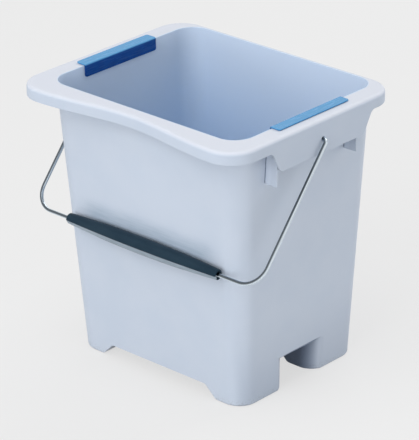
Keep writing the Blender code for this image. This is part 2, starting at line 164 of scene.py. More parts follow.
class Workpiece:
    """One new mesh that is modelled step by step, with its place in the mesh."""

    def __init__(self, name: str) -> None:
        """Takes over the object that was just added.

        Args:
            name: The piece's name.
        """
        self.obj = bpy.context.object
        self.obj.name = name
        self.obj.data.name = name
        bpy.ops.object.transform_apply(location=True, rotation=True, scale=True)

    @classmethod
    def sheet(cls, name: str, centre: Point, size: Point, turn: Point = (0, 0, 0)) -> "Workpiece":
        """A flat rectangle.

        Args:
            name: The piece's name.
            centre: Its middle.
            size: Its size along X, Y and Z, with 1 for the axis that it lies across.
            turn: How it is turned from lying level.

        Returns:
            The rectangle.
        """
        bpy.ops.object.select_all(action="DESELECT")
        bpy.ops.mesh.primitive_plane_add(size=1, location=centre, rotation=turn)
        piece = cls(name)
        with piece.editing():
            piece.take_all()
            piece.resize(size, centre)
        return piece

    @classmethod
    def plate(cls, name: str, outline: Outline, segments: int) -> "Workpiece":
        """A flat plate with rounded corners.

        Args:
            name: The piece's name.
            outline: Its size, place and corner radius.
            segments: How many flats make a corner.

        Returns:
            The plate, ready to be drawn upwards.
        """
        size = (2 * outline.half_length, outline.depth, 1)
        piece = cls.sheet(name, (0, outline.middle, outline.z), size)
        with piece.editing():
            piece.take_all()
            piece.bevel(outline.radius, segments, corners=True)
        return piece

    @classmethod
    def block(cls, name: str, low: Point, high: Point, turn: float = 0.0) -> "Workpiece":
        """A box between two corners.

        Args:
            name: The piece's name.
            low: Its lowest corner, before it is turned.
            high: Its highest corner, before it is turned.
            turn: How far it is turned about X, round its own middle.

        Returns:
            The box.
        """
        middle, size = (Vector(low) + Vector(high)) / 2, Vector(high) - Vector(low)
        bpy.ops.object.select_all(action="DESELECT")
        bpy.ops.mesh.primitive_cube_add(size=1, location=middle, rotation=(turn, 0, 0), scale=size)
        return cls(name)

    @classmethod
    def ring(cls, name: str, centre: Point, radius: float, segments: int) -> "Workpiece":
        """An open ring that faces along X, the start of a tube.

        Args:
            name: The piece's name.
            centre: Its middle.
            radius: Its radius.
            segments: How many sides it has.

        Returns:
            The ring.
        """
        bpy.ops.object.select_all(action="DESELECT")
        turn = (0, RIGHT_ANGLE, 0)
        bpy.ops.mesh.primitive_circle_add(vertices=segments, radius=radius, location=centre, rotation=turn)
        return cls(name)

    def isolate(self) -> None:
        """Selects the piece alone and makes it the active one."""
        bpy.ops.object.select_all(action="DESELECT")
        self.obj.select_set(True)
        bpy.context.view_layer.objects.active = self.obj

    @contextmanager
    def editing(self) -> Iterator[None]:
        """Opens the piece alone in edit mode, and closes it again."""
        self.isolate()
        bpy.ops.object.mode_set(mode="EDIT")
        yield
        bpy.ops.object.mode_set(mode="OBJECT")

    def take_all(self) -> None:
        """Selects the whole mesh."""
        bpy.ops.mesh.select_all(action="SELECT")

    def pick(self, element: Element, test: Test) -> None:
        """Selects the items that pass a test, and nothing else.

        Args:
            element: Which kind of item is picked.
            test: Says whether an item is taken.
        """
        bpy.ops.mesh.select_mode(type=element.value)
        bpy.ops.mesh.select_all(action="DESELECT")
        mesh = bmesh.from_edit_mesh(self.obj.data)
        items = {Element.VERTS: mesh.verts, Element.EDGES: mesh.edges, Element.FACES: mesh.faces}[element]
        for item in [item for item in items if test(item)]:
            item.select_set(True)
        bmesh.update_edit_mesh(self.obj.data)

    def extrude(self, shift: Point) -> None:
        """Draws the selected items out along a shift."""
        bpy.ops.mesh.extrude_region_move(TRANSFORM_OT_translate={"value": shift})

    def resize(self, factors: Point, centre: Point) -> None:
        """Resizes the selected items about a centre."""
        bpy.ops.transform.resize(value=factors, center_override=centre)

    def shift(self, by: Point) -> None:
        """Moves the selected items."""
        bpy.ops.transform.translate(value=by)

    def bevel(self, width: float, segments: int, corners: bool = False) -> None:
        """Rounds the selected edges, or the selected corners of a flat plate.

        Args:
            width: How far the rounding reaches from the edge or corner.
            segments: How many flats it has.
            corners: Whether vertices are rounded and not edges.
        """
        bpy.ops.mesh.bevel(
            offset=width,
            offset_pct=0,
            segments=segments,
            profile=ROUND_PROFILE,
            affect="VERTICES" if corners else "EDGES",
            clamp_overlap=False,
        )

    def draw_to(self, start: Outline, end: Outline) -> None:
        """Draws the whole plate from one outline to another.

        Args:
            start: The outline that it has.
            end: The outline that it gets.
        """
        self.take_all()
        self.extrude((0, 0, end.z - start.z))
        factors = (end.half_length / start.half_length, end.depth / start.depth, 1)
        self.resize(factors, (0, start.middle, end.z))
        self.shift((0, end.middle - start.middle, 0))

    def turn_outwards(self) -> None:
        """Merges doubles and turns all faces outwards."""
        with self.editing():
            self.take_all()
            bpy.ops.mesh.remove_doubles(threshold=MERGE_DISTANCE)
            bpy.ops.mesh.normals_make_consistent(inside=False)

    def apply(self, kind: str, **settings: object) -> None:
        """Adds a modifier and applies it.

        Args:
            kind: The modifier's type.
            **settings: Its values.
        """
        modifier = self.obj.modifiers.new(kind.lower(), kind)
        for key, value in settings.items():
            setattr(modifier, key, value)
        bpy.context.view_layer.objects.active = self.obj
        bpy.ops.object.modifier_apply(modifier=modifier.name)

    def combine(self, operation: Operation, *tools: "Workpiece") -> None:
        """Adds tools to the piece or cuts them out of it, and uses them up.

        Args:
            operation: Which of the two.
            *tools: Closed pieces.
        """
        for tool in tools:
            tool.turn_outwards()
            self.apply("BOOLEAN", operation=operation.value, solver="EXACT", object=tool.obj)
            bpy.data.objects.remove(tool.obj)

    def soften(self, width: float) -> bpy.types.Object:
        """Rounds every edge that is still sharp, and shades the piece.

        Args:
            width: How far the rounding reaches from an edge.

        Returns:
            The piece's object.
        """
        self.apply(
            "BEVEL",
            width=width,
            segments=SOFT_SEGMENTS,
            limit_method="ANGLE",
            angle_limit=SHARP_ANGLE,
            use_clamp_overlap=False,
            miter_outer="MITER_ARC",
        )
        return self.smooth()

    def smooth(self) -> bpy.types.Object:
        """Shades the piece smooth, with its flat faces kept flat.

        Returns:
            The piece's object.
        """
        self.isolate()
        bpy.ops.object.shade_smooth_by_angle(angle=SHARP_ANGLE)
        self.apply("WEIGHTED_NORMAL", keep_sharp=True)
        return self.obj


@dataclass(frozen=True)
class TubMoulding:
    """The bucket moulding: tub, rim, aprons, stacking ribs, runners and tip-grip recesses.

    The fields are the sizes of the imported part.
    """

    rim_length: float = 0.330
    rim_width: float = 0.2775
    height: float = 0.338
    rim_corner: float = 0.035
    front_bow: float = 0.0145
    rim_edge: float = 0.0045
    rim_thickness: float = 0.003
    skirt_height: float = 0.015
    skirt_thickness: float = 0.0025
    flange_short: float = 0.0247
    flange_front: float = 0.0316
    flange_back: float = 0.0068
    mouth_radius: float = 0.0256
    wall: float = 0.0028
    base_inset_short: float = 0.039
    base_inset_front: float = 0.0583
    base_inset_back: float = 0.0161
    base_radius: float = 0.024
    foot_edge: float = 0.003
    foot_length: float = 0.0375
    channel_height: float = 0.0165
    channel_slope: float = math.radians(45)
    channel_fillet: float = 0.004
    recess_width: float = 0.046
    recess_height: float = 0.043
    recess_depth: float = 0.056
    recess_edge: float = 0.020
    recess_turn: float = math.radians(60)
    pivot_y: float = 0.0088
    pivot_drop: float = 0.0235
    pivot_hole: float = 0.00285
    apron_drop: float = 0.0405
    apron_top: float = 0.170
    apron_bottom: float = 0.141
    apron_fillet: float = 0.007
    rib_drop: float = 0.062
    rib_thickness: float = 0.0025
    rib_spread: float = 0.135
    rib_rim_inset: float = 0.0074
    slot_spacing: float = 0.080
    slot_size: Pair = (0.0026, 0.0126)
    slot_rim_inset: float = 0.018
    inside_fillet: float = 0.002
    edge_rounding: float = 0.0006
    corner_segments: int = 16
    bow_cuts: int = 25
    edge_segments: int = 5

    @property
    def apron_low(self) -> float:
        """Z of the aprons' lower edge."""
        return self.height - self.apron_drop

    @property
    def skirt_low(self) -> float:
        """Z of the skirt's lower edge."""
        return self.height - self.skirt_height

    def wall_at(self, z: float, inset: float = 0.0) -> Outline:
        """The tub's outer wall at a height.

        Args:
            z: The height.
            inset: How far the outline is drawn in.

        Returns:
            The outline.
        """
        share = z / self.height

        def blend(low: float, high: float) -> float:
            """The value between the floor's and the rim's."""
            return low + (high - low) * share

        short = blend(self.base_inset_short, self.flange_short - self.wall) + inset
        front = blend(self.base_inset_front, self.flange_front - self.wall) + inset
        back = blend(self.base_inset_back, self.flange_back - self.wall) + inset
        radius = blend(self.base_radius, self.mouth_radius + self.wall) - inset
        half_width = self.rim_width / 2
        return Outline(self.rim_length / 2 - short, front - half_width, half_width - back, radius, z)

    def rim_at(self, z: float, inset: float) -> Outline:
        """The rim's outline at a height, drawn in, before its front edge is bowed."""
        half_width = self.rim_width / 2 - inset
        return Outline(self.rim_length / 2 - inset, -half_width, half_width, self.rim_corner - inset, z)

    def rim_block(self, name: str, low_z: float, high_z: float, inset: float) -> Workpiece:
        """A block of the rim's outline, with the front edge bowed inwards.

        Args:
            name: The piece's name.
            low_z: Z of its lower face.
            high_z: Z of its upper face.
            inset: How far the outline is drawn in.

        Returns:
            The block.
        """
        outline = self.rim_at(low_z, inset)
        on_front = lies_at(1, outline.front)
        block = Workpiece.plate(name, outline, self.corner_segments)
        with block.editing():
            block.pick(Element.EDGES, on_front)
            bpy.ops.mesh.subdivide(number_cuts=self.bow_cuts)
            block.pick(Element.VERTS, both(on_front, lies_at(0, 0.0)))
            bpy.ops.transform.translate(
                value=(0, self.front_bow, 0),
                use_proportional_edit=True,
                proportional_edit_falloff="SMOOTH",
                proportional_size=outline.half_length - outline.radius,
            )
            block.take_all()
            block.extrude((0, 0, high_z - low_z))
        return block

    def skirt_trim(self) -> Workpiece:
        """What lies below the skirt all round the rim, apart from the two aprons.

        Returns:
            The tool that cuts it away.
        """
        half_y = self.rim_width / 2 + OVERRUN
        low_z = self.apron_low - OVERRUN
        start_x = -self.rim_length / 2 - OVERRUN
        centre = (start_x, 0, (low_z + self.skirt_low) / 2)
        size = (1, 2 * half_y, self.skirt_low - low_z)
        trim = Workpiece.sheet("skirt_trim", centre, size, (0, RIGHT_ANGLE, 0))
        half_top, half_bottom = self.apron_top / 2, self.apron_bottom / 2
        places = [
            (self.pivot_y - half_top, self.skirt_low),
            (self.pivot_y - half_bottom, self.apron_low),
            (self.pivot_y + half_bottom, self.apron_low),
            (self.pivot_y + half_top, self.skirt_low),
        ]
        slope_turn = math.atan2(self.skirt_low - self.apron_low, half_top - half_bottom)
        on_top = lies_at(2, self.skirt_low)
        with trim.editing():
            trim.pick(Element.EDGES, on_top)
            bpy.ops.mesh.subdivide(number_cuts=len(places))
            for index, (y, z) in enumerate(places):
                cut_y = -half_y + 2 * half_y * (index + 1) / (len(places) + 1)
                trim.pick(Element.VERTS, both(lies_at(1, cut_y), on_top))
                trim.shift((0, y - cut_y, z - self.skirt_low))
            trim.pick(Element.VERTS, lambda vert: any(abs(vert.co.y - y) < NEAR for y, _ in places))
            trim.bevel(self.apron_fillet * math.tan(slope_turn / 2), self.edge_segments, corners=True)
            trim.take_all()
            trim.extrude((-2 * start_x, 0, 0))
        return trim

    def channel(self, name: str, offset: float) -> Workpiece:
        """The channel under the base that leaves the runners.

        Args:
            name: The tool's name.
            offset: How far it is grown.

        Returns:
            The tool that cuts it.
        """
        slope = self.channel_slope
        top_z = self.channel_height + offset
        floor_half = self.wall_at(0).half_length - self.foot_length + offset / math.sin(slope)
        low_half = floor_half + OVERRUN / math.tan(slope)
        top_half = floor_half - top_z / math.tan(slope)
        half_y = self.rim_width / 2
        tool = Workpiece.block(name, (-low_half, -half_y, -OVERRUN), (low_half, half_y, top_z))
        on_top = lies_at(2, top_z)
        with tool.editing():
            tool.pick(Element.FACES, on_top)
            tool.resize((top_half / low_half, 1, 1), (0, 0, top_z))
            tool.pick(Element.EDGES, both(on_top, runs_across(0)))
            tool.bevel((self.channel_fillet + offset) * math.tan(slope / 2), self.edge_segments)
        return tool

    def recess(self, name: str, side: Side, offset: float) -> Workpiece:
        """A tip-grip recess between the feet of one short side, flared at its mouth.

        Args:
            name: The tool's name.
            side: Which side.
            offset: How far it is grown.

        Returns:
            The tool that cuts it.
        """
        foot = self.wall_at(0)
        reach = (self.recess_edge - offset) * math.tan(self.recess_turn / 2)
        deep_x = foot.half_length - self.recess_depth - offset
        flare_x = foot.half_length - self.recess_edge + reach
        half_y = self.recess_width / 2 + offset
        run = self.recess_edge + OVERRUN
        wide = half_y + run * math.sin(self.recess_turn)
        centre = (side.value * (deep_x + flare_x) / 2, foot.middle, -OVERRUN)
        tool = Workpiece.sheet(name, centre, (flare_x - deep_x, 2 * half_y, 1))
        at_flare = lies_at(0, side.value * flare_x)
        with tool.editing():
            tool.pick(Element.EDGES, at_flare)
            tool.extrude((side.value * run * math.cos(self.recess_turn), 0, 0))
            tool.resize((1, wide / half_y, 1), centre)
            tool.pick(Element.VERTS, at_flare)
            tool.bevel(reach, self.edge_segments * 2, corners=True)
            tool.take_all()
            tool.extrude((0, 0, OVERRUN + self.recess_height + offset))
        return tool

    def hollows(self, ending: str, offset: float) -> list[Workpiece]:
        """The tools that cut the channel and the recesses, grown by an offset."""
        recesses = [self.recess(f"recess_{side.label}{ending}", side, offset) for side in Side]
        return [self.channel(f"channel{ending}", offset), *recesses]

    def cavity(self) -> Workpiece:
        """The inside of the tub, with an even wall round the channel and the recesses.

        Returns:
            The tool that hollows the tub.
        """
        floor, mouth = self.wall_at(self.wall, self.wall), self.wall_at(self.height, self.wall)
        inside = Workpiece.plate("cavity", floor, self.corner_segments)
        with inside.editing():
            inside.draw_to(floor, mouth)
            inside.extrude((0, 0, OVERRUN))
        inside.turn_outwards()
        with inside.editing():
            inside.pick(Element.EDGES, lies_at(2, floor.z))
            inside.bevel(self.inside_fillet, self.edge_segments)
        inside.combine(Operation.CUT, *self.hollows("_core", self.wall))
        return inside

    def twins(self, name: str, spacing: float, low: Point, high: Point) -> list[Workpiece]:
        """Two equal boxes, one on either side of the pivots' line.

        Args:
            name: The start of their names.
            spacing: The distance between their middles.
            low: The lowest corner of a box, with its Y counted from the box's middle.
            high: The highest corner, counted in the same way.

        Returns:
            The boxes.
        """
        made = []
        for end in (-1, 1):
            middle = self.pivot_y + end * spacing / 2
            corners = [(x, middle + y, z) for x, y, z in (low, high)]
            made.append(Workpiece.block(f"{name}_{end}", *corners))
        return made

    def at_slots(self, name: str, side: Side, size: Pair, low_z: float, high_z: float) -> list[Workpiece]:
        """Two boxes at the places of a clip's tongues.

        Args:
            name: The start of their names.
            side: Which short side.
            size: Their size along X and Y.
            low_z: Z of their lower faces.
            high_z: Z of their upper faces.

        Returns:
            The boxes.
        """
        x = side.value * (self.rim_length / 2 - self.slot_rim_inset)
        half_x, half_y = size[0] / 2, size[1] / 2
        low, high = (x - half_x, -half_y, low_z), (x + half_x, half_y, high_z)
        return self.twins(f"{name}_{side.label}", self.slot_spacing, low, high)

    def ribs(self) -> list[Workpiece]:
        """The stacking ribs under the flange at both ends of each apron.

        Returns:
            Four plates.
        """
        low_z, high_z = self.height - self.rib_drop, self.height - self.rim_thickness / 2
        inner_x = self.wall_at(low_z).half_length - self.wall / 2
        outer_x = self.rim_length / 2 - self.rib_rim_inset
        half = self.rib_thickness / 2
        ribs = []
        for side in Side:
            low_x, high_x = sorted((side.value * inner_x, side.value * outer_x))
            low, high = (low_x, -half, low_z), (high_x, half, high_z)
            ribs += self.twins(f"rib_{side.label}", self.rib_spread, low, high)
        return ribs

    def hole(self, side: Side) -> Workpiece:
        """The pivot hole in one apron.

        Args:
            side: Which apron.

        Returns:
            The tool that cuts it.
        """
        # The tool reaches one thickness past the apron on both sides.
        near_x = side.value * (self.rim_length / 2 - 2 * self.skirt_thickness)
        centre = (near_x, self.pivot_y, self.height - self.pivot_drop)
        tool = Workpiece.ring(f"pivot_hole_{side.label}", centre, self.pivot_hole, 2 * self.corner_segments)
        with tool.editing():
            tool.take_all()
            bpy.ops.mesh.edge_face_add()
            tool.extrude((side.value * 3 * self.skirt_thickness, 0, 0))
        return tool

    def slots(self, side: Side) -> list[Workpiece]:
        """The tools that cut the two slots in the flange for a clip's tongues."""
        low_z, high_z = self.height - 2 * self.rim_thickness, self.height + OVERRUN
        return self.at_slots("slot", side, self.slot_size, low_z, high_z)

    def build(self) -> bpy.types.Object:
        """Models the whole moulding.

        Returns:
            Its object.
        """
        body = self.rim_block("tub_moulding", self.apron_low, self.height, 0.0)
        body.turn_outwards()
        with body.editing():
            body.pick(Element.EDGES, lies_at(2, self.height))
            body.bevel(self.rim_edge, self.edge_segments)
        roof_z = self.height - self.rim_thickness
        hollow = self.rim_block("rim_hollow", self.apron_low - OVERRUN, roof_z, self.skirt_thickness)
        body.combine(Operation.CUT, hollow, self.skirt_trim())

        foot, neck = self.wall_at(0), self.wall_at(self.height - self.rim_thickness / 2)
        tub = Workpiece.plate("tub", foot, self.corner_segments)
        with tub.editing():
            tub.draw_to(foot, neck)
        tub.turn_outwards()
        tub.combine(Operation.CUT, *self.hollows("", 0.0))
        with tub.editing():
            tub.pick(Element.EDGES, both(lies_at(2, 0.0), is_sharp))
            tub.bevel(self.foot_edge, self.edge_segments)

        body.combine(Operation.ADD, tub, *self.ribs())
        body.combine(Operation.CUT, self.cavity())
        body.combine(Operation.CUT, *[self.hole(side) for side in Side])
        body.combine(Operation.CUT, *[slot for side in Side for slot in self.slots(side)])
        body.turn_outwards()
        return body.soften(self.edge_rounding)


@dataclass(frozen=True)
class WireBail:
    """The carrying bail: one bent round wire, at rest against the front wall."""

    tub: TubMoulding = TubMoulding()
    lean: float = math.radians(39.28)
    wire_radius: float = 0.00225
    end_x: float = 0.1525
    arm_x: float = 0.170
    length: float = 0.181
    bend_radius: float = 0.0265
    hook_radius: float = 0.005
    tip_rounding: float = 0.0005
    ring_segments: int = 24
    bend_steps: int = 16

    @property
    def pivot(self) -> Point:
        """The middle of the line through the two pivot holes."""
        return (0.0, self.tub.pivot_y, self.tub.height - self.tub.pivot_drop)

    @property
    def down(self) -> Vector:
        """The direction from the pivot to the bar."""
        return Vector((0, -math.sin(self.lean), -math.cos(self.lean)))

    @property
    def bar_middle(self) -> Vector:
        """The middle of the bar that carries the grip."""
        return Vector(self.pivot) + self.down * self.length

    def build(self) -> bpy.types.Object:
        """Draws the wire from its left tip to its right one.

        Returns:
            Its object.
        """
        place = Vector((-self.end_x, *self.pivot[1:]))
        out, down = Vector((-1, 0, 0)), self.down
        wire = Workpiece.ring("bail_bent_wire", place, self.wire_radius, self.ring_segments)
        hook_run = self.arm_x - self.hook_radius - self.end_x
        arm_run = self.length - self.hook_radius - self.bend_radius
        bar_run = 2 * (self.arm_x - self.bend_radius)
        legs = [
            (out, hook_run, down, self.hook_radius),
            (down, arm_run, -out, self.bend_radius),
            (-out, bar_run, -down, self.bend_radius),
            (-down, arm_run, out, self.hook_radius),
        ]
        with wire.editing():
            wire.take_all()
            for along, run, turned, radius in legs:
                wire.extrude(along * run)
                place = place + along * run
                centre, axis = place + turned * radius, turned.cross(along)
                bpy.ops.mesh.spin(steps=self.bend_steps, angle=RIGHT_ANGLE, center=centre, axis=axis)
                place = centre + along * radius
            wire.extrude(out * hook_run)
            shrink = 1 - self.tip_rounding / self.wire_radius
            for tip_x, outwards in ((-self.end_x, 1), (self.end_x, -1)):
                wire.pick(Element.EDGES, both(is_open, lies_at(0, tip_x)))
                wire.extrude((outwards * self.tip_rounding, 0, 0))
                wire.resize((1, shrink, shrink), (0, *self.pivot[1:]))
                bpy.ops.mesh.edge_face_add()
        wire.turn_outwards()
        return wire.smooth()


@dataclass(frozen=True)
class BarrelGrip:
    """The slotted barrel that is snapped over the bail's bar."""

    bail: WireBail = WireBail()
    length: float = 0.228
    middle_radius: float = 0.0098
    end_radius: float = 0.0065
    end_rounding: float = 0.0018
    slot_width: float = 0.0038
    bore_radius: float = 0.00255
    mouth_radius: float = 0.0042
    mouth_depth: float = 0.006
    face_turn: float = math.radians(20)
    face_half_angle: float = math.radians(28)
    slot_turn: float = math.radians(-22)
    lip_rounding: float = 0.0004
    ring_segments: int = 72
    barrel_steps: int = 28
    end_steps: int = 6

    def outwards(self, turn: float) -> Vector:
        """The direction out of the bar, turned from the bail's own direction towards the front."""
        angle = self.bail.lean + turn
        return Vector((0, -math.sin(angle), -math.cos(angle)))

    @property
    def face_out(self) -> Vector:
        """The direction that the barrel's flat face looks in."""
        return self.outwards(self.face_turn)

    def stations(self) -> list[Pair]:
        """The barrel's rings from the left bore over the outside to the right bore.

        Returns:
            The place along the bar and the radius of each ring.
        """
        half = self.length / 2
        end = []
        for step in range(self.end_steps + 1):
            angle = RIGHT_ANGLE * step / self.end_steps
            x = half - self.end_rounding * (1 - math.cos(angle))
            end.append((x, self.end_radius - self.end_rounding * (1 - math.sin(angle))))
        reach = half - self.end_rounding
        barrel = []
        for step in range(1, self.barrel_steps):
            share = 2 * step / self.barrel_steps - 1
            swell = (self.middle_radius - self.end_radius) * (1 - share * share)
            barrel.append((reach * share, self.end_radius + swell))
        bore_x = half - self.mouth_depth
        mouth = [(bore_x, self.bore_radius), (bore_x, self.mouth_radius), (half, self.mouth_radius)]
        left = [(-x, radius) for x, radius in mouth + end]
        return left + barrel + [(-x, radius) for x, radius in reversed(left)]

    def build(self) -> bpy.types.Object:
        """Draws the barrel ring by ring and cuts its slot.

        Returns:
            Its object.
        """
        _, y, z = self.bail.bar_middle
        stations = self.stations()
        x, radius = stations[0]
        grip = Workpiece.ring("bail_barrel_grip", (x, y, z), radius, self.ring_segments)
        with grip.editing():
            axis, reach = Vector((x, y, z)), radius * math.cos(self.face_half_angle) + NEAR
            grip.pick(Element.VERTS, lambda vert: (vert.co - axis).dot(self.face_out) > reach)
            bpy.ops.mesh.dissolve_verts()
            grip.take_all()
            for next_x, next_radius in stations[1:]:
                grip.extrude((next_x - x, 0, 0))
                growth = next_radius / radius
                grip.resize((1, growth, growth), (next_x, y, z))
                x, radius = next_x, next_radius
            grip.pick(Element.EDGES, is_open)
            bpy.ops.mesh.bridge_edge_loops()
        grip.turn_outwards()
        depth = self.middle_radius + OVERRUN
        middle = self.bail.bar_middle + self.outwards(self.slot_turn) * depth / 2
        half = Vector((self.length / 2 + OVERRUN, self.slot_width / 2, depth / 2))
        turn = -(self.bail.lean + self.slot_turn)
        grip.combine(Operation.CUT, Workpiece.block("grip_slot", middle - half, middle + half, turn))
        return grip.soften(self.lip_rounding)


@dataclass(frozen=True)
class RimClip:
    """A colour-code clip: a strip on the rim, folded down inside the wall, with two tongues below it."""

    side: Side
    tub: TubMoulding = TubMoulding()
    length: float = 0.118
    rim_inset: float = 0.0125
    thickness: float = 0.0018
    flap: float = 0.0135
    fold_radius: float = 0.002
    corner_radius: float = 0.0025
    tongue_size: Pair = (0.002, 0.012)
    tongue_drop: float = 0.007
    gap: float = 0.0003
    edge_rounding: float = 0.0003
    corner_segments: int = 5

    def build(self) -> bpy.types.Object:
        """Folds the clip from a flat strip.

        Returns:
            Its object.
        """
        sign, tub = self.side.value, self.tub
        seat_z = tub.height + self.gap
        low_z, top_z = tub.height - self.flap, seat_z + self.thickness
        outer_x = tub.rim_length / 2 - self.rim_inset
        fold_x = tub.wall_at(tub.height, tub.wall).half_length - self.gap - self.thickness
        low_x = tub.wall_at(low_z, tub.wall).half_length - self.gap - self.thickness
        centre = (sign * (outer_x + fold_x) / 2, tub.pivot_y, top_z)
        clip = Workpiece.sheet(f"colour_clip_{self.side.label}", centre, (outer_x - fold_x, self.length, 1))
        at_fold = lies_at(0, sign * fold_x)
        with clip.editing():
            clip.pick(Element.EDGES, at_fold)
            clip.extrude((sign * (low_x - fold_x), 0, low_z - top_z))
            clip.pick(Element.VERTS, lambda vert: not at_fold(vert))
            clip.bevel(self.corner_radius, self.corner_segments, corners=True)
            clip.pick(Element.EDGES, at_fold)
            clip.bevel(self.fold_radius, self.corner_segments)
            clip.take_all()
            bpy.ops.mesh.normals_make_consistent(inside=False)
            if not self.faces_up(clip):
                bpy.ops.mesh.flip_normals()
        clip.apply("SOLIDIFY", thickness=self.thickness, offset=-1, use_even_offset=True)
        tongue_low, tongue_high = seat_z - self.tongue_drop, seat_z + self.thickness / 2
        tongues = tub.at_slots("tongue", self.side, self.tongue_size, tongue_low, tongue_high)
        clip.combine(Operation.ADD, *tongues)
        return clip.soften(self.edge_rounding)

    @staticmethod
    def faces_up(clip: Workpiece) -> bool:
        """True where the strip's face points upwards."""
        faces = bmesh.from_edit_mesh(clip.obj.data).faces
        return max(faces, key=lambda face: face.calc_center_median().z).normal.z > 0


class Signal:
    """A number that varies over a surface, so that shader maths reads as Python."""

    def __init__(self, recipe: "Recipe", socket: bpy.types.NodeSocket) -> None:
        """Wraps an output of a node in a recipe."""
        self.recipe = recipe
        self.socket = socket

    def __add__(self, other: "Number") -> "Signal":
        """The sum."""
        return self.recipe.maths("ADD", self, other)

    def __sub__(self, other: "Number") -> "Signal":
        """The difference."""
        return self.recipe.maths("SUBTRACT", self, other)

    def __rsub__(self, other: "Number") -> "Signal":
        """The difference, taken from a plain number."""
        return self.recipe.maths("SUBTRACT", other, self)

    def __mul__(self, other: "Number") -> "Signal":
        """The product."""
        return self.recipe.maths("MULTIPLY", self, other)

    def __truediv__(self, other: "Number") -> "Signal":
        """The quotient."""
        return self.recipe.maths("DIVIDE", self, other)

    def __abs__(self) -> "Signal":
        """The size without its sign."""
        return self.recipe.maths("ABSOLUTE", self)

    def __pow__(self, other: "Number") -> "Signal":
        """The power."""
        return self.recipe.maths("POWER", self, other)

    __radd__ = __add__
    __rmul__ = __mul__

    def most(self, other: "Number") -> "Signal":
        """The larger of two numbers."""
        return self.recipe.maths("MAXIMUM", self, other)

    def least(self, other: "Number") -> "Signal":
        """The smaller of two numbers."""
        return self.recipe.maths("MINIMUM", self, other)

    def step(self, low: float, high: float) -> "Signal":
        """A smooth step from 0 to 1.

        Args:
            low: Where the step starts.
            high: Where it ends, which may be below its start.

        Returns:
            The step.
        """
        if low > high:
            return 1 - self.step(high, low)
        feeds = {"Value": self, "From Min": low, "From Max": high}
        return self.recipe.signal("ShaderNodeMapRange", {"interpolation_type": "SMOOTHSTEP"}, feeds)


Number = Signal | float
Paint = Point | bpy.types.NodeSocket
Feed = Signal | bpy.types.NodeSocket | float | int | tuple


def hypotenuse(first: Signal, second: Signal) -> Signal:
    """How long two distances at a right angle are together."""
    return (first**2 + second**2) ** 0.5


def grey(level: float) -> Point:
    """A colour without a hue."""
    return (level, level, level)


def opaque(paint: Paint) -> Feed:
    """A plain colour with full cover, or a link as it is."""
    return paint if isinstance(paint, bpy.types.NodeSocket) else (*paint, 1.0)


class Recipe:
    """The node tree of a finish, the floor or the world."""

    def __init__(self, tree: bpy.types.NodeTree) -> None:
        """Takes over a tree and clears it."""
        self.tree = tree
        tree.nodes.clear()

    def node(self, kind: str, settings: dict | None = None, feeds: dict | None = None) -> bpy.types.Node:
        """Adds one node.

        Args:
            kind: The node's type.
            settings: Its own values, which are set first.
            feeds: The value or link of each named or numbered socket.

        Returns:
            The node.
        """
        made = self.tree.nodes.new(kind)
        for key, value in (settings or {}).items():
            setattr(made, key, value)
        for key, feed in (feeds or {}).items():
            source = feed.socket if isinstance(feed, Signal) else feed
            if isinstance(source, bpy.types.NodeSocket):
                self.tree.links.new(source, made.inputs[key])
            else:
                made.inputs[key].default_value = source
        return made

    def signal(self, kind: str, settings: dict | None = None, feeds: dict | None = None) -> Signal:
        """Adds one node and takes its first output as a number."""
        return Signal(self, self.node(kind, settings, feeds).outputs[0])

    def maths(self, operation: str, *values: Number) -> Signal:
        """Adds a Math node and takes its result."""
        return self.signal("ShaderNodeMath", {"operation": operation}, dict(enumerate(values)))

    def noise(self, place: bpy.types.NodeSocket, waves: float, detail: Detail) -> Signal:
        """Soft noise from 0 to 1 at a place, with so many waves in a metre."""
        feeds = {"Vector": place, "Scale": waves, "Detail": detail.value}
        return self.signal("ShaderNodeTexNoise", None, feeds)

    def blend(self, share: Number, first: Paint, second: Paint) -> bpy.types.NodeSocket:
        """A colour between two colours.

        Args:
            share: How much of the second one shows.
            first: The colour at 0.
            second: The colour at 1.

        Returns:
            The colour.
        """
        # The Mix node's colours are its sockets 6 and 7 and its output 2.
        settings = {"data_type": "RGBA", "clamp_factor": True}
        feeds = {0: share, 6: opaque(first), 7: opaque(second)}
        return self.node("ShaderNodeMix", settings, feeds).outputs[2]

    def bump(
        self, height: Signal, depth: float, under: bpy.types.NodeSocket | None = None
    ) -> bpy.types.NodeSocket:
        """A relief on the surface.

        Args:
            height: The relief, from 0 to 1.
            depth: How deep it is.
            under: The relief that it lies on.

        Returns:
            The normal.
        """
        feeds = {"Height": height, "Strength": 1.0, "Distance": depth}
        if under is not None:
            feeds["Normal"] = under
        return self.node("ShaderNodeBump", None, feeds).outputs[0]

    def surface(self, **feeds: Feed) -> None:
        """Ends the tree in one Principled surface.

        Args:
            **feeds: The value or link of each socket, with _ for a space in its name.
        """
        named = {key.replace("_", " "): feed for key, feed in feeds.items()}
        shader = self.node("ShaderNodeBsdfPrincipled", None, named)
        self.node("ShaderNodeOutputMaterial", None, {"Surface": shader.outputs[0]})


